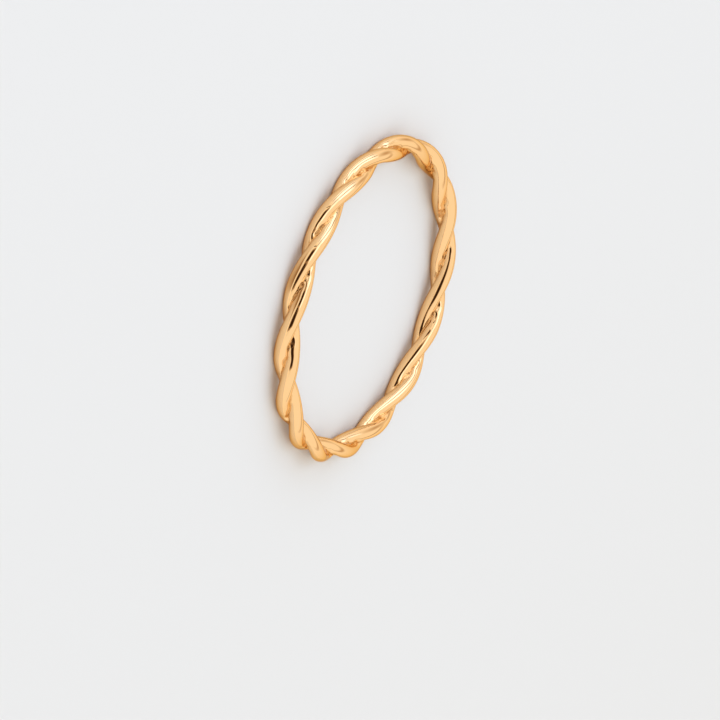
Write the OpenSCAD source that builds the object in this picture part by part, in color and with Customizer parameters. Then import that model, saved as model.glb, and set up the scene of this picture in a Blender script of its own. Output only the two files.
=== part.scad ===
// Twist ring: two strands twisted about each other, closed into a band and soldered.
// The ring lies on its side: the finger hole opens upwards and the lowest crests touch z = 0.
// Units are millimetres.

/* [Ring] */
// Diameter of the finger hole, measured between the crests of the strands
inner_d = 17.3; // [14:0.1:22]
// Width of the band across both strands, which is also the height of the lying ring
band_w = 1.51; // [1.4:0.01:1.6]

/* [Strands] */
// Thickness of one strand, measured from one strand towards the other
strand_t = 0.82; // [0.8:0.01:0.9]
// Width of one strand, measured across that
strand_w = 0.88; // [0.8:0.01:1]
// Radius of the solder fillet at the bottom of the groove between the strands
groove_r = 0.04; // [0.02:0.01:0.08]

/* [Twist] */
// Half turns that the pair of strands makes on its way round the finger
half_turns = 15; // [8:1:24]
// Direction of the twist
twist = "right"; // [right, left]

/* [Hidden] */

// Distance from the middle of the pair to the middle of either strand.
// It is less than half a strand, because the soldered strands are sunk a little into each other.
strand_r = strand_t / 2;
strand_off = band_w / 2 - strand_r;
// Radius of the circle that the middle of the pair follows
band_r = inner_d / 2 + band_w / 2;
// The outline is drawn with round strands and then widened: by the oval of the strand,
// and by the slant at which a twisted strand crosses the section
slant = half_turns / 2 * strand_off / band_r;
widen = strand_w / strand_t * sqrt(1 + slant * slant);
// Middle of the fillet's arc, above the middle of the pair, where it touches both strands
fillet_c = sqrt(pow(strand_r + groove_r, 2) - pow(strand_off, 2));
// Angle on the strand, from its outermost point, at which the fillet takes over
seat_a = atan2(fillet_c, -strand_off);

// Faces round one strand, faces across one fillet, and sections round the whole ring
strand_faces = 14;
fillet_faces = 2;
sections = 180;

// The section's outline, anticlockwise: a strand, the fillet that follows it, and both again.
// Side is 1 for the strand that starts on the outside of the band and -1 for the other one.
function strand_arc(side) = [
    for (i = [0 : strand_faces - 1])
        let (a = -seat_a + 2 * seat_a * i / strand_faces)
        [side * (strand_off + strand_r * cos(a)), side * widen * strand_r * sin(a)]
];
function fillet_arc(side) = [
    for (i = [0 : fillet_faces - 1])
        let (a = seat_a - 180 - (2 * seat_a - 180) * i / fillet_faces)
        [side * groove_r * cos(a), side * widen * (fillet_c + groove_r * sin(a))]
];
outline = concat(strand_arc(1), fillet_arc(1), strand_arc(-1), fillet_arc(-1));
corners = len(outline);

// Place of one outline point in the section at angle a round the ring.
// The pair has turned by then in proportion to the angle.
turn_sign = twist == "right" ? -1 : 1;
function on_ring(p, a) =
    let (
        turn = turn_sign * half_turns / 2 * a,
        out = p[0] * cos(turn) - p[1] * sin(turn),
        up = p[0] * sin(turn) + p[1] * cos(turn)
    )
    [(band_r + out) * cos(a), (band_r + out) * sin(a), up + band_w / 2];

band_points = [for (s = [0 : sections - 1]) for (p = outline) on_ring(p, 360 * s / sections)];

// After an odd number of half turns each strand arrives where the other one began,
// so the last section joins the first one half an outline further on.
swap = half_turns % 2 * corners / 2;
function corner(s, k) =
    s < sections ? s * corners + k % corners : (k + swap) % corners;
band_faces = [
    for (s = [0 : sections - 1]) for (k = [0 : corners - 1])
        let (a = corner(s, k), b = corner(s, k + 1), c = corner(s + 1, k + 1), d = corner(s + 1, k))
        each [[a, b, c], [a, c, d]]
];

module twisted_band() {
    color("goldenrod")
        polyhedron(points = band_points, faces = band_faces, convexity = 8);
}

twisted_band();
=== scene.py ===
# %% [markdown]
# # A twist ring in polished gold
#
# The ring is made in the order of the bench. Two wires are laid side by side, soldered, twisted, bent
# round into a band, closed and polished. Each of these steps is one Blender operator or modifier, so this
# lesson follows the bench step by step.
#
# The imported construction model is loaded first. It gives the ring's true size and place, and everything
# that is measured below comes from it.

# %% Load the construction model
import math

import bpy
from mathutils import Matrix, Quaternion, Vector


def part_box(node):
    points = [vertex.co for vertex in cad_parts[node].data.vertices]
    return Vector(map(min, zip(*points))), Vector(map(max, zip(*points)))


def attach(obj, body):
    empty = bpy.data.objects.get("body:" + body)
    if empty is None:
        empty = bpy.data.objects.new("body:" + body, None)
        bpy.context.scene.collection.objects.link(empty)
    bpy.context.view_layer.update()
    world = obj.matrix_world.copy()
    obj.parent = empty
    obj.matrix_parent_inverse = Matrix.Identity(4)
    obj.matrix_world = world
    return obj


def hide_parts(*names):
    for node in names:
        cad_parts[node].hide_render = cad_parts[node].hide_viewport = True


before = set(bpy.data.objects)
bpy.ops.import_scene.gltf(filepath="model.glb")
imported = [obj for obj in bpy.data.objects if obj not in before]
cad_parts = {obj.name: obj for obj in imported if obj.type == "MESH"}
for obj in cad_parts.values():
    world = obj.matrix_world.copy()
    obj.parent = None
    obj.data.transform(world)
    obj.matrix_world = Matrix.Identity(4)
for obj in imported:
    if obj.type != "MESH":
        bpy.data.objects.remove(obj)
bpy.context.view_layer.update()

# %% [markdown]
# ## Measures
#
# The ring is only 20 mm across, and Blender's operators round off very small lengths. So the ring is
# modelled at one unit to the millimetre, and is brought down to metres as the very last step.
#
# The ring lies on its side, so its height is the width of the band across both strands. A crest of the
# twist points along +X, so the highest X is the band's outermost radius. The rest follows from these two.
# The strands' own sizes are the maker's: a slightly oval wire, sunk a little into its neighbour by the
# solder. A twisted strand crosses the section aslant and so looks wider in it, and widen allows for both
# the oval and the slant.

# %% Measures from the frame
MM = 0.001
low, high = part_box("twisted_band")
band_w = (high[2] - low[2]) / MM
outer_r = high[0] / MM
band_r = outer_r - band_w / 2
bar_length = 2 * math.pi * band_r

half_turns = 15
strand_t = 0.82
strand_w = 0.88
strand_off = (band_w - strand_t) / 2
slant = half_turns / 2 * strand_off / band_r
widen = strand_w / strand_t * math.sqrt(1 + slant * slant)
print(f"band {band_w:.3f} mm wide on a middle radius of {band_r:.3f} mm, bar {bar_length:.2f} mm long")

# %% [markdown]
# ## The camera
#
# The ring is pictured with a long lens from some 27 cm away, which flattens the perspective as a jewellery
# photograph does, and from about 25 degrees above the plane of the ring. The camera is turned on its side
# as well, because the picture shows the ring standing: its high side is the ring's -X side. Direction,
# distance, aim and roll are plain numbers here, so each can be tried on its own.

# %% Set up the camera
ring_middle = Vector((0, 0, band_w / 2)) * MM
view_azimuth = -92.0
view_elevation = 25.17
view_distance = 0.26876
view_roll = 107.98
aim_point = Vector((3.61, 0.11, 1.37)) * MM


def direction(azimuth, elevation):
    """Unit vector from the ring towards an azimuth (from +X, anticlockwise) and a height, in degrees."""
    around = math.radians(azimuth)
    up = math.radians(elevation)
    return Vector((math.cos(around) * math.cos(up), math.sin(around) * math.cos(up), math.sin(up)))


bpy.ops.object.select_all(action="DESELECT")
bpy.ops.object.camera_add(location=ring_middle + direction(view_azimuth, view_elevation) * view_distance)
camera = bpy.context.object
camera.name = "camera"
camera.data.sensor_width = 36
camera.data.lens = 225
camera.data.clip_start = 0.01
camera.data.clip_end = 10
level = (aim_point - camera.location).to_track_quat("-Z", "Y")
camera.rotation_mode = "QUATERNION"
camera.rotation_quaternion = level @ Quaternion((0, 0, 1), math.radians(view_roll))
bpy.context.scene.camera = camera
print("camera at", [round(c / MM, 1) for c in camera.location], "mm")

# %% [markdown]
# ## The section of the pair
#
# Seen from its end, the soldered pair is two discs that run into each other, with a fine fillet of solder
# in each groove. The outline could be typed in as points, but it is quicker and truer to draw it: two
# circles are cut off where they would run into each other, their ends are merged, and the two corners
# that are left are bevelled into the fillets. The outline stands at the middle of the bar, across X.
# Points less than a thousandth of a millimetre apart count as touching.

# %% Cut off two circles
circle_points = 44


def edit_all():
    """Goes into edit mode on the active object, with everything selected."""
    bpy.ops.object.mode_set(mode="EDIT")
    bpy.ops.mesh.select_all(action="SELECT")


def leave_edit():
    """Goes back to object mode, which writes the edits to the mesh."""
    bpy.ops.object.mode_set(mode="OBJECT")


halves = []
for side in (1, -1):
    bpy.ops.object.select_all(action="DESELECT")
    bpy.ops.mesh.primitive_circle_add(
        vertices=circle_points, radius=strand_t / 2, fill_type="NOTHING",
        location=(0, side * strand_off, 0), rotation=(0, math.pi / 2, 0),
    )
    bpy.ops.object.transform_apply(location=True, rotation=True, scale=True)
    edit_all()
    bpy.ops.mesh.bisect(plane_co=(0, 0, 0), plane_no=(0, side, 0), clear_inner=True)
    leave_edit()
    halves.append(bpy.context.object)
print("points left of each circle:", [len(half.data.vertices) for half in halves])

# %% Join them and bevel the fillets
touching = 0.001
fillet_cuts = 6
fillet_reach = 0.052

bpy.ops.object.select_all(action="DESELECT")
for half in halves:
    half.select_set(True)
bpy.context.view_layer.objects.active = halves[0]
bpy.ops.object.join()
ring = bpy.context.object
ring.name = "polished_twisted_band"

edit_all()
bpy.ops.mesh.remove_doubles(threshold=touching)
bpy.ops.mesh.select_all(action="DESELECT")
leave_edit()
for point in ring.data.vertices:
    point.select = abs(point.co.y) < touching
bpy.ops.object.mode_set(mode="EDIT")
bpy.ops.mesh.select_mode(type="VERT")
bpy.ops.mesh.bevel(
    affect="VERTICES", offset=fillet_reach, offset_type="OFFSET", segments=fillet_cuts, clamp_overlap=False,
)
bpy.ops.mesh.select_all(action="SELECT")
bpy.ops.transform.resize(value=(1, 1, widen), center_override=(0, 0, 0))
leave_edit()
neck = min(abs(point.co.z) for point in ring.data.vertices if abs(point.co.y) < touching)
section_points = len(ring.data.vertices)
print(f"section of {section_points} points, neck {2 * neck:.3f} mm, strands {strand_w} mm wide")

# %% [markdown]
# ## The straight bar
#
# The outline is extruded to the length of the band's middle circle. The bar then needs many short steps
# along it, or it couldn't twist smoothly. Loop cuts need a window, but subdividing only the edges that
# run along the bar does the same. It is done in three rounds, each of which cuts every piece again.

# %% Extrude and cut the bar
cuts_in_rounds = (14, 7, 8)

edit_all()
bpy.ops.transform.translate(value=(-bar_length / 2, 0, 0))
bpy.ops.mesh.extrude_region_move(TRANSFORM_OT_translate={"value": (bar_length, 0, 0)})
bpy.ops.mesh.select_all(action="DESELECT")
leave_edit()

bpy.context.tool_settings.mesh_select_mode = (False, True, False)
for cuts in cuts_in_rounds:
    for edge in ring.data.edges:
        start, end = (ring.data.vertices[i].co for i in edge.vertices)
        edge.select = abs(start.x - end.x) > touching
    bpy.ops.object.mode_set(mode="EDIT")
    bpy.ops.mesh.subdivide(number_cuts=cuts)
    bpy.ops.mesh.select_all(action="DESELECT")
    leave_edit()
steps = math.prod(cuts + 1 for cuts in cuts_in_rounds)
print(f"bar of {steps} steps, {len(ring.data.polygons)} faces")

# %% [markdown]
# ## Marks that follow the strands
#
# The finish has to follow the strands through every twist: how deep a place lies in the groove, which
# flanks slope down to it, and which way the polishing mop ran. All of it is easy to say while the bar is
# still straight, so it is stored on the mesh now and goes along with every later step.
#
# Three vertex groups, groove, flank and strand, say where the modifiers below may act. They fade out
# towards the two ends of the bar, so that the ends still fit each other when the band is closed. An
# attribute, groove_depth, tells the material about the groove.

# %% Weigh the groove, the flanks and the strands
# How far each mark reaches from the bottom of the groove, and how far it fades from the ends, in mm
groove_half = 0.15
flank_half = 0.44
# tone_half is also how far the deeper groove tone reaches, and that tone is partly painted shade
tone_half = 0.34
seam_fade = 0.8
weight_steps = 50


def fall(distance, reach):
    """1 at no distance, falling smoothly to 0 at reach."""
    nearness = max(0.0, 1.0 - distance / reach)
    return nearness * nearness * (3 - 2 * nearness)


def store_group(name, weights):
    """A vertex group with these weights, rounded to a number of steps."""
    group = ring.vertex_groups.new(name=name)
    for step in range(1, weight_steps + 1):
        members = [i for i, weight in enumerate(weights) if round(weight * weight_steps) == step]
        group.add(members, step / weight_steps, "REPLACE")
    print(f"{name}: {sum(weight > 0.01 for weight in weights)} of {len(weights)} points")


into_groove = [math.hypot(point.co.y, abs(point.co.z) - neck) for point in ring.data.vertices]
past_fade = [max(0.0, seam_fade - bar_length / 2 + abs(point.co.x)) for point in ring.data.vertices]
from_seam = [fall(past, seam_fade) for past in past_fade]
store_group("groove", [fall(away, groove_half) * kept for away, kept in zip(into_groove, from_seam)])
store_group("flank", [fall(away, flank_half) * kept for away, kept in zip(into_groove, from_seam)])
store_group("strand", from_seam)
attribute = ring.data.attributes.new("groove_depth", "FLOAT", "POINT")
attribute.data.foreach_set("value", [fall(away, tone_half) for away in into_groove])

# %% [markdown]
# Three UV maps say which way the mop ran. The first holds millimetres, along the bar and round each
# strand, with the two strands set apart so that their marks differ. The other two hold the same map
# squeezed or slanted, so that a round blot of noise becomes a long facet along the strand, or a tool mark
# that lies aslant across it.

# %% Map the running direction
strands_apart = 3
facet_squeeze = (0.05, 0.3)
mark_squeeze = (0.5, 0.15)
mark_slant = 0.33

for name in ("running_mm", "mop_facets", "tool_marks"):
    ring.data.uv_layers.new(name=name)
running = ring.data.uv_layers["running_mm"]
facets = ring.data.uv_layers["mop_facets"]
marks = ring.data.uv_layers["tool_marks"]
for corner, straight, facet, mark in zip(ring.data.loops, running.data, facets.data, marks.data):
    place = ring.data.vertices[corner.vertex_index].co
    side = 1 if place.y > 0 else -1
    turned = math.atan2(side * place.z / widen, side * place.y - strand_off)
    straight.uv = (place.x, turned * strand_t / 2 + strands_apart * side)
    along, around = straight.uv
    facet.uv = (along * facet_squeeze[0], around * facet_squeeze[1])
    mark.uv = (along * mark_squeeze[0] + around * mark_slant, around * mark_squeeze[1])
ring.data.uv_layers.active = running
print("UV maps:", [layer.name for layer in ring.data.uv_layers])

# %% [markdown]
# ## Twist, bend and close
#
# Now the two bench steps that make the ring. Simple Deform's Twist turns the far end of the bar against
# the near one, a half turn for every crest. Its Bend then rolls the bar through a full circle. The turn
# is an odd number of half turns, so each strand arrives where the other one began. The section looks the
# same after half a turn, and so the ends meet point for point, but for a few thousandths of a millimetre
# of play, and merging them closes the band.

# %% Twist and bend
end_play = 0.004


def bench_step(name, kind, **settings):
    """Adds a modifier with these settings to the ring and applies it."""
    step = ring.modifiers.new(name, kind)
    for key, value in settings.items():
        setattr(step, key, value)
    bpy.ops.object.modifier_apply(modifier=name)


bench_step(
    "twist", "SIMPLE_DEFORM", deform_method="TWIST", deform_axis="X", angle=math.radians(180 * half_turns),
)
bench_step("bend", "SIMPLE_DEFORM", deform_method="BEND", deform_axis="Z", angle=math.radians(360))
before_closing = len(ring.data.vertices)
edit_all()
bpy.ops.mesh.remove_doubles(threshold=end_play)
bpy.ops.mesh.normals_make_consistent(inside=False)
leave_edit()
print(f"closing merged {before_closing - len(ring.data.vertices)} points of {section_points}")

# %% [markdown]
# ## The hand in the surface
#
# A cast and hand-polished ring is never a perfect sweep. The mop leaves the strands very slightly wavy and
# faintly faceted, which is what makes long reflections wander. It hardly reaches the flanks of the
# grooves, where short slanted ridges stay, and not at all their bottom, where the solder left small lumps.
# All of this is real shape and not only shading, so each is a Displace modifier with a cloud texture, kept
# to its place by one of the three weights.

# %% Wave the strands and roughen the grooves
def relief(name, lump, height, where, **placing):
    """A cloudy relief of this height in mm, with lumps about this many units of its coordinates across."""
    texture = bpy.data.textures.new(name, "CLOUDS")
    texture.noise_scale = lump
    texture.noise_depth = 0
    bench_step(
        name, "DISPLACE", texture=texture, strength=height, mid_level=0.5, vertex_group=where, **placing,
    )
    print(f"{name}: lumps of {lump}, {height} mm high, on the {where}")


relief("mop_waves", 2.2, 0.03, "strand", texture_coords="LOCAL")
relief("mop_facets", 0.45, 0.012, "strand", texture_coords="UV", uv_layer="mop_facets")
relief("tool_marks", 0.45, 0.12, "flank", texture_coords="UV", uv_layer="tool_marks")
relief("solder_lumps", 0.4, 0.08, "groove", texture_coords="LOCAL")
for face in ring.data.polygons:
    face.use_smooth = True

# %% [markdown]
# ## Into its place
#
# Bend leaves the middle of the bar at the origin, with a crest there, and the band's own middle one band
# radius away along +Y. So the ring moves back by that much, up by half the band's width, and turns by six
# degrees, a quarter of a crest's pitch, which brings its crests onto those of the construction model. The
# last move scales it by a thousandth into metres. All of this is done in edit mode, so the object itself
# stays at the origin, unturned and unscaled.

# %% Place the ring
crest_turn = 360 / half_turns / 4

edit_all()
bpy.ops.transform.translate(value=(0, -band_r, band_w / 2))
bpy.ops.transform.rotate(value=math.radians(crest_turn), orient_axis="Z", center_override=(0, 0, 0))
bpy.ops.transform.resize(value=(MM, MM, MM), center_override=(0, 0, 0))
leave_edit()
for axis, letter in enumerate("XYZ"):
    places = [point.co[axis] / MM for point in ring.data.vertices]
    print(f"ring from {min(places):.3f} to {max(places):.3f} mm along {letter}")

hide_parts("twisted_band")
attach(ring, "root")

# %% [markdown]
# ## Shared effects
#
# A finish is put together from patterns, and each pattern is a node group with named inputs, so that it is
# built once and a material only sets its own sizes. A group holds nothing but the pattern, and the shader
# stays in the material.
#
# Speckle is fine grain. The gold needs it twice, for the ragged border of the unpolished metal and for its
# pits, and the floor needs it for its paper fibres. Hairlines are the faint parallel marks that a
# polishing mop leaves along the strands.

# %% Build the speckle
def new_group(name, inputs, output):
    """A shader node group with these input sockets and one output, and the nodes that stand for them."""
    group = bpy.data.node_groups.new(name, "ShaderNodeTree")
    for title, kind, default in inputs:
        socket = group.interface.new_socket(title, in_out="INPUT", socket_type=kind)
        if default is not None:
            socket.default_value = default
    group.interface.new_socket(output, in_out="OUTPUT", socket_type="NodeSocketFloat")
    return group, group.nodes.new("NodeGroupInput"), group.nodes.new("NodeGroupOutput")


def add(tree, kind, **values):
    """A new node, with its properties and its input sockets set by name."""
    node = tree.nodes.new(kind)
    for key, value in values.items():
        if hasattr(node, key):
            setattr(node, key, value)
        else:
            node.inputs[key.replace("_", " ")].default_value = value
    return node


speckle, given, made = new_group(
    "speckle",
    [
        ("Place", "NodeSocketVector", None),
        ("Scale", "NodeSocketFloat", 1000.0),
        ("Depth", "NodeSocketFloat", 3.0),
    ],
    "Height",
)
grain = add(speckle, "ShaderNodeTexNoise", noise_dimensions="3D", Roughness=0.6)
speckle.links.new(given.outputs["Place"], grain.inputs["Vector"])
speckle.links.new(given.outputs["Scale"], grain.inputs["Scale"])
speckle.links.new(given.outputs["Depth"], grain.inputs["Detail"])
speckle.links.new(grain.outputs["Fac"], made.inputs["Height"])
print("group", speckle.name, "with", len(speckle.nodes), "nodes")

# %% Build the hairlines
hairlines, given, made = new_group(
    "hairlines",
    [("Place", "NodeSocketVector", None), ("Stretch", "NodeSocketVector", (1.0, 1.0, 1.0))],
    "Height",
)
stretched = add(hairlines, "ShaderNodeVectorMath", operation="MULTIPLY")
lines = add(hairlines, "ShaderNodeTexNoise", noise_dimensions="2D", Scale=1.0, Detail=2.0)
hairlines.links.new(given.outputs["Place"], stretched.inputs[0])
hairlines.links.new(given.outputs["Stretch"], stretched.inputs[1])
hairlines.links.new(stretched.outputs["Vector"], lines.inputs["Vector"])
hairlines.links.new(lines.outputs["Fac"], made.inputs["Height"])
print("group", hairlines.name, "with", len(hairlines.nodes), "nodes")

# %% [markdown]
# ## Polished gold
#
# Gold is a metal whose colour is all in its reflection, so the base colour is nearly the whole story: a
# warm peach yellow. A metal's Specular Tint is its colour where the surface turns away, and a browner one
# keeps the outlines of the strands from going white.
#
# The mop reaches the strands and leaves the bottom of the grooves. The stored groove depth says how far
# down a place lies, and some speckle is added to it before it is cut off, so that the border of the
# unpolished metal comes out ragged.

# %% Start the gold and find its unpolished places
RAGGEDNESS = 0.5
MOP_STOPS = 0.95
UNPOLISHED_FROM = 1.2

gold = bpy.data.materials.new("polished_gold")
gold.use_nodes = True
tree = gold.node_tree
metal = tree.nodes["Principled BSDF"]
metal.inputs["Metallic"].default_value = 1.0
metal.inputs["Specular Tint"].default_value = (0.80, 0.55, 0.30, 1)

place = add(tree, "ShaderNodeTexCoord")
depth = add(tree, "ShaderNodeAttribute", attribute_name="groove_depth")
edge_grain = add(tree, "ShaderNodeGroup", node_tree=speckle, Scale=4500.0, Depth=3.0)
ragged = add(tree, "ShaderNodeMath", operation="MULTIPLY_ADD")
ragged.inputs[1].default_value = RAGGEDNESS
unpolished = add(
    tree, "ShaderNodeMapRange", interpolation_type="SMOOTHSTEP",
    From_Min=MOP_STOPS, From_Max=UNPOLISHED_FROM,
)
tree.links.new(place.outputs["Object"], edge_grain.inputs["Place"])
tree.links.new(edge_grain.outputs["Height"], ragged.inputs[0])
tree.links.new(depth.outputs["Fac"], ragged.inputs[2])
tree.links.new(ragged.outputs["Value"], unpolished.inputs["Value"])
print("gold is unpolished from a depth and grain of", MOP_STOPS, "to", UNPOLISHED_FROM)

# %% [markdown]
# The unpolished metal is deeper in tone, and the deeper tone in the grooves is partly painted shade as
# well, standing in for the deepening that the strands' reflections of each other give a groove. In a groove
# each strand mirrors the other, and gold seen in gold is tinted twice, which would make the grooves too
# dark an
# orange. So gold is painted a paler tone where it is seen in gold, a painted lightening of its reflections:
# the Light Path node tells a ray that comes from a glossy surface from one that comes straight from the
# camera.

# %% Tone the gold
POLISHED_TONE = (0.99, 0.622, 0.296, 1)
# The groove tone is partly the unpolished metal and partly painted shade in the grooves.
GROOVE_TONE_AND_SHADE = (0.87, 0.49, 0.19, 1)
# Painted reflection: gold seen in gold is painted this paler tone, on glossy rays only.
PAINTED_PALE_BOUNCE_TONE = (0.98, 0.85, 0.72, 1)


def coloured(sockets, name):
    """A Mix node's colour socket of this name. It has others of the same name for other kinds of data."""
    return next(socket for socket in sockets if socket.name == name and socket.type == "RGBA")


own_tone_and_groove_shade = add(tree, "ShaderNodeMix", data_type="RGBA")
coloured(own_tone_and_groove_shade.inputs, "A").default_value = POLISHED_TONE
coloured(own_tone_and_groove_shade.inputs, "B").default_value = GROOVE_TONE_AND_SHADE
tree.links.new(unpolished.outputs["Result"], own_tone_and_groove_shade.inputs["Factor"])
# The Light Path switches to the painted paler tone wherever gold is seen in a reflection.
ray = add(tree, "ShaderNodeLightPath")
tone = add(tree, "ShaderNodeMix", data_type="RGBA")
coloured(tone.inputs, "B").default_value = PAINTED_PALE_BOUNCE_TONE
tree.links.new(coloured(own_tone_and_groove_shade.outputs, "Result"), coloured(tone.inputs, "A"))
tree.links.new(ray.outputs["Is Glossy Ray"], tone.inputs["Factor"])
tree.links.new(coloured(tone.outputs, "Result"), metal.inputs["Base Color"])
print("gold", POLISHED_TONE[:3], "and in the grooves", GROOVE_TONE_AND_SHADE[:3])

# %% [markdown]
# On the strands the gold is nearly a mirror, softened a little along the hairlines, which the first UV map
# lays along the strand. The unpolished metal is rougher, and has fine pits.

# %% Roughen and pit the gold
HAIRLINE_STRETCH = (0.8, 45.0, 1.0)
STRAND_ROUGHNESS = (0.03, 0.04)
GROOVE_ROUGHNESS = 0.09

running_map = add(tree, "ShaderNodeUVMap", uv_map="running_mm")
mop_marks = add(tree, "ShaderNodeGroup", node_tree=hairlines, Stretch=HAIRLINE_STRETCH)
strand_roughness = add(
    tree, "ShaderNodeMapRange", From_Min=0.35, From_Max=0.75,
    To_Min=STRAND_ROUGHNESS[0], To_Max=STRAND_ROUGHNESS[1],
)
roughness = add(tree, "ShaderNodeMix", data_type="FLOAT", B=GROOVE_ROUGHNESS)
tree.links.new(running_map.outputs["UV"], mop_marks.inputs["Place"])
tree.links.new(mop_marks.outputs["Height"], strand_roughness.inputs["Value"])
tree.links.new(unpolished.outputs["Result"], roughness.inputs["Factor"])
tree.links.new(strand_roughness.outputs["Result"], roughness.inputs["A"])
tree.links.new(roughness.outputs["Result"], metal.inputs["Roughness"])

pits = add(tree, "ShaderNodeGroup", node_tree=speckle, Scale=5000.0, Depth=1.0)
pit_height = add(tree, "ShaderNodeMath", operation="MULTIPLY")
pit_bump = add(tree, "ShaderNodeBump", Distance=0.00003, Strength=0.2)
tree.links.new(place.outputs["Object"], pits.inputs["Place"])
tree.links.new(pits.outputs["Height"], pit_height.inputs[0])
tree.links.new(unpolished.outputs["Result"], pit_height.inputs[1])
tree.links.new(pit_height.outputs["Value"], pit_bump.inputs["Height"])
tree.links.new(pit_bump.outputs["Normal"], metal.inputs["Normal"])

ring.data.materials.clear()
ring.data.materials.append(gold)
print("gold on", ring.name, "in", len(tree.nodes), "nodes")

# %% [markdown]
# ## The floor
#
# A plain pale board that the ring lies on. It is large enough to fill the picture from every side, and has
# a faint paper grain so that it isn't a dead flat tone. Its colour is slightly warm, because the softboxes
# below are a cool white, and the two together look neutral.

# %% Lay the floor
bpy.ops.object.select_all(action="DESELECT")
bpy.ops.mesh.primitive_plane_add(size=3)
floor = bpy.context.object
floor.name = "floor"
board = bpy.data.materials.new("pale_board")
board.use_nodes = True
tree = board.node_tree
paper = tree.nodes["Principled BSDF"]
paper.inputs["Base Color"].default_value = (0.762, 0.742, 0.699, 1)
paper.inputs["Roughness"].default_value = 0.9
paper.inputs["Specular IOR Level"].default_value = 0.1
place = add(tree, "ShaderNodeTexCoord")
fibres = add(tree, "ShaderNodeGroup", node_tree=speckle, Scale=3000.0, Depth=2.0)
fibre_bump = add(tree, "ShaderNodeBump", Distance=0.00001, Strength=0.15)
tree.links.new(place.outputs["Object"], fibres.inputs["Place"])
tree.links.new(fibres.outputs["Height"], fibre_bump.inputs["Height"])
tree.links.new(fibre_bump.outputs["Normal"], paper.inputs["Normal"])
floor.data.materials.append(board)
print("floor of", [round(side, 2) for side in floor.dimensions[:2]], "m")

# %% [markdown]
# ## Soft light from a white tent
#
# Polished metal shows its surroundings, so lighting it means building what it reflects. Small jewels are
# lit inside a white tent, and the World is that tent. The Standard view shows its tones unchanged and lets
# the highlights reach white.

# %% Pitch the tent
TENT_STRENGTH = 1.03

world = bpy.data.worlds.new("white_tent")
bpy.context.scene.world = world
world.use_nodes = True
world.node_tree.nodes["Background"].inputs["Color"].default_value = (1.0, 1.0, 1.0, 1)
world.node_tree.nodes["Background"].inputs["Strength"].default_value = TENT_STRENGTH

view = bpy.context.scene.view_settings
view.view_transform = "Standard"
view.look = "None"
print("tent", world.name, "of strength", TENT_STRENGTH)

# %% [markdown]
# ## Cards in the tent
#
# What makes gold look like gold is the softboxes and the dark cards in the tent, which draw bright and
# brown lines along the strands. A line with hard ends would look like plastic, so every card fades out
# towards its edge.
#
# A card is a plane one unit across that is scaled to its size, so its Object coordinates run from -0.5 to
# 0.5 both ways. The soft edge turns them into a mask, 1 inside and 0 at the edge. Width says what share of
# the way from the middle to the edge the fade takes, in each direction.

# %% Build the soft edge
HALF_CARD = 0.5

soft_edge, given, made = new_group(
    "soft_edge",
    [("Place", "NodeSocketVector", None), ("Width", "NodeSocketVector", (0.3, 0.3, 1.0))],
    "Inside",
)
folded = add(soft_edge, "ShaderNodeVectorMath", operation="ABSOLUTE")
full_until = add(soft_edge, "ShaderNodeVectorMath", operation="MULTIPLY_ADD")
full_until.inputs[1].default_value = (-HALF_CARD, -HALF_CARD, -HALF_CARD)
full_until.inputs[2].default_value = (HALF_CARD, HALF_CARD, HALF_CARD)
beyond = add(soft_edge, "ShaderNodeVectorMath", operation="SUBTRACT")
outside = add(soft_edge, "ShaderNodeVectorMath", operation="MAXIMUM")
outside.inputs[1].default_value = (0, 0, 0)
share = add(soft_edge, "ShaderNodeVectorMath", operation="DIVIDE")
away = add(soft_edge, "ShaderNodeVectorMath", operation="LENGTH")
inside = add(
    soft_edge, "ShaderNodeMapRange", interpolation_type="SMOOTHSTEP",
    From_Max=HALF_CARD, To_Min=1.0, To_Max=0.0,
)
soft_edge.links.new(given.outputs["Place"], folded.inputs[0])
soft_edge.links.new(given.outputs["Width"], full_until.inputs[0])
soft_edge.links.new(folded.outputs["Vector"], beyond.inputs[0])
soft_edge.links.new(full_until.outputs["Vector"], beyond.inputs[1])
soft_edge.links.new(beyond.outputs["Vector"], outside.inputs[0])
soft_edge.links.new(outside.outputs["Vector"], share.inputs[0])
soft_edge.links.new(given.outputs["Width"], share.inputs[1])
soft_edge.links.new(share.outputs["Vector"], away.inputs[0])
soft_edge.links.new(away.outputs["Value"], inside.inputs["Value"])
soft_edge.links.new(inside.outputs["Result"], made.inputs["Inside"])
print("group", soft_edge.name, "with", len(soft_edge.nodes), "nodes")

# %% [markdown]
# Each finish has one colour in its middle and another at its rim. The softboxes are a cool white, which
# gold turns to cream. The strips have a dark rim, which parts their highlights by a thin line, and fade
# slowly towards their ends, so that a highlight tapers along its strand. The flags are black with a brown
# rim, so that a dark line has a warm edge, and tan and brown cards break the white of the tent. Only the
# softboxes stand for lamps. The flags' rims and the tan and brown cards are not lit by anything but glow
# with a fixed colour: painted light, standing in for lit felt, which only reflections see.

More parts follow.
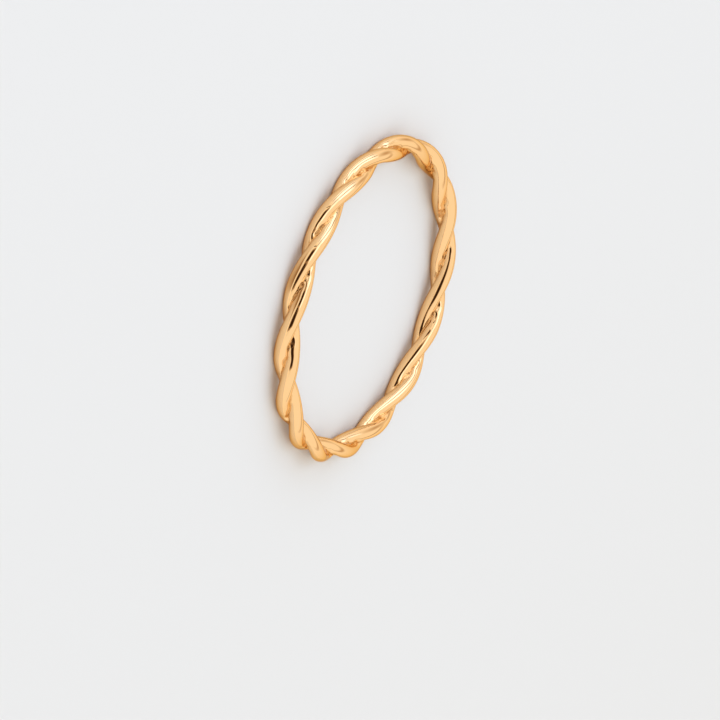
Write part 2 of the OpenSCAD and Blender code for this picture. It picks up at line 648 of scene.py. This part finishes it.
# %% Make the card finishes
def glowing(name, core, rim, strength, rim_width, fade):
    """A card finish that gives off one colour in its middle and another at its rim, and then fades out."""
    material = bpy.data.materials.new(name)
    material.use_nodes = True
    tree = material.node_tree
    surface = tree.nodes["Principled BSDF"]
    surface.inputs["Base Color"].default_value = (0, 0, 0, 1)
    surface.inputs["Specular IOR Level"].default_value = 0.0
    surface.inputs["Roughness"].default_value = 1.0
    surface.inputs["Emission Strength"].default_value = strength
    place = add(tree, "ShaderNodeTexCoord")
    middle = add(tree, "ShaderNodeGroup", node_tree=soft_edge, Width=(*rim_width, 1.0))
    whole = add(tree, "ShaderNodeGroup", node_tree=soft_edge, Width=(*fade, 1.0))
    colour = add(tree, "ShaderNodeMix", data_type="RGBA")
    coloured(colour.inputs, "A").default_value = (*rim, 1)
    coloured(colour.inputs, "B").default_value = (*core, 1)
    tree.links.new(place.outputs["Object"], middle.inputs["Place"])
    tree.links.new(place.outputs["Object"], whole.inputs["Place"])
    tree.links.new(middle.outputs["Inside"], colour.inputs["Factor"])
    tree.links.new(coloured(colour.outputs, "Result"), surface.inputs["Emission Color"])
    tree.links.new(whole.outputs["Inside"], surface.inputs["Alpha"])
    print("card finish", name)
    return material


BROWN_RIM = (0.6, 0.5, 0.4)
strip_glow = glowing(
    "strip_glow", core=(0.62, 0.72, 0.93), rim=(0.05, 0.03, 0.018), strength=2.75,
    rim_width=(0.30, 0.32), fade=(0.75, 0.05),
)
side_glow = glowing(
    "side_glow", core=(0.75, 0.86, 1.06), rim=BROWN_RIM, strength=1.9,
    rim_width=(0.5, 0.5), fade=(0.3, 0.3),
)
# Painted light: the flags, the frame and the tan cards are not lit but glow with their fixed colours.
flag_glow = glowing(
    "flag_glow", core=(0.035, 0.018, 0.010), rim=(0.48, 0.35, 0.23), strength=1.0,
    rim_width=(0.5, 0.5), fade=(0.25, 0.25),
)
tan_glow = glowing(
    "tan_glow", core=(0.58, 0.45, 0.33), rim=(0.87, 0.80, 0.71), strength=1.0,
    rim_width=(1.0, 1.0), fade=(1.0, 1.0),
)
# Painted shade: the floor card's brown glow, which only reflections see.
painted_floor_shade = glowing(
    "painted_floor_shade", core=(0.30, 0.20, 0.12), rim=BROWN_RIM, strength=1.0,
    rim_width=(0.8, 0.8), fade=(0.5, 0.5),
)
frame_glow = glowing(
    "frame_glow", core=(0.30, 0.21, 0.14), rim=BROWN_RIM, strength=1.0,
    rim_width=(0.5, 0.5), fade=(0.3, 0.3),
)

# %% [markdown]
# A card is placed by what it covers as the ring sees it: a direction, a width and a height in degrees.
# Reflections see it and the camera doesn't, it casts no shadow, and only the softboxes light the floor.
#
# Three level strip softboxes hang one above the other at the ring's high side, before a brown frame. One
# more softbox hangs high up between them and the camera. The camera looks out through a dark opening in a
# tan card, with a flag to each side of it and a slit of a flag nearer the softboxes. Two more tan cards
# hang behind the ring, one of them a wide low band.

# %% Hang the cards
def dress_card(name, size, finish, lights_floor):
    """Makes the plane that was just added a card of this size and finish."""
    card = bpy.context.object
    card.name = name
    card.scale = (*size, 1)
    card.data.materials.append(finish)
    card.visible_camera = False
    card.visible_shadow = False
    card.visible_diffuse = lights_floor


def hang_card(name, azimuth, elevation, wide, tall, distance, finish, lights_floor):
    """A card that faces the ring from a direction and fills this many degrees of its surroundings."""
    toward = direction(azimuth, elevation)
    bpy.ops.object.select_all(action="DESELECT")
    bpy.ops.mesh.primitive_plane_add(size=1, location=ring_middle + toward * distance)
    bpy.context.object.rotation_mode = "QUATERNION"
    bpy.context.object.rotation_quaternion = toward.to_track_quat("Z", "Y")
    size = [2 * distance * math.tan(math.radians(angle / 2)) for angle in (wide, tall)]
    dress_card(name, size, finish, lights_floor)


# Name, azimuth, elevation, degrees wide and tall, metres away, finish, and whether it lights the floor
for card_row in (
    ("strip_softbox_0", -165, -5, 72, 28, 0.40, strip_glow, True),
    ("strip_softbox_1", -165, 25, 72, 28, 0.40, strip_glow, True),
    ("strip_softbox_2", -165, 55, 72, 26, 0.40, strip_glow, True),
    ("strip_frame", -165, 27, 62, 84, 0.41, frame_glow, False),
    ("side_softbox", -120, 58, 48, 24, 0.39, side_glow, True),
    ("tan_surround", -84, 32, 92, 66, 0.38, tan_glow, False),
    ("lens_flag", -88, 27, 70, 31, 0.36, flag_glow, False),
    ("right_flag", -68, 32, 34, 46, 0.355, flag_glow, False),
    ("left_flag", -108, 28, 30, 38, 0.35, flag_glow, False),
    ("slit_left", -128, 12, 2.5, 44, 0.33, flag_glow, False),
    ("far_tan", 140, 30, 44, 60, 0.43, tan_glow, False),
    ("back_tan", 80, 38, 110, 16, 0.43, tan_glow, False),
):
    hang_card(*card_row)

# %% [markdown]
# The last card is small and lies on the floor just in front of the ring. It is what the undersides of the
# nearest strands reflect: painted shade on the floor, a brown glow that only reflections see, which gives
# them a broad brown shade instead of the floor's white.

# %% Lay the floor card
floor_card_place = Vector((0.0, -13.2, 0.04)) * MM
floor_card_size = (0.008, 0.006)
floor_card_turn = -58

bpy.ops.object.select_all(action="DESELECT")
bpy.ops.mesh.primitive_plane_add(
    size=1, location=floor_card_place, rotation=(0, 0, math.radians(floor_card_turn)),
)
dress_card("floor_card", floor_card_size, painted_floor_shade, False)
print("floor card at", [round(c / MM, 2) for c in floor_card_place], "mm")
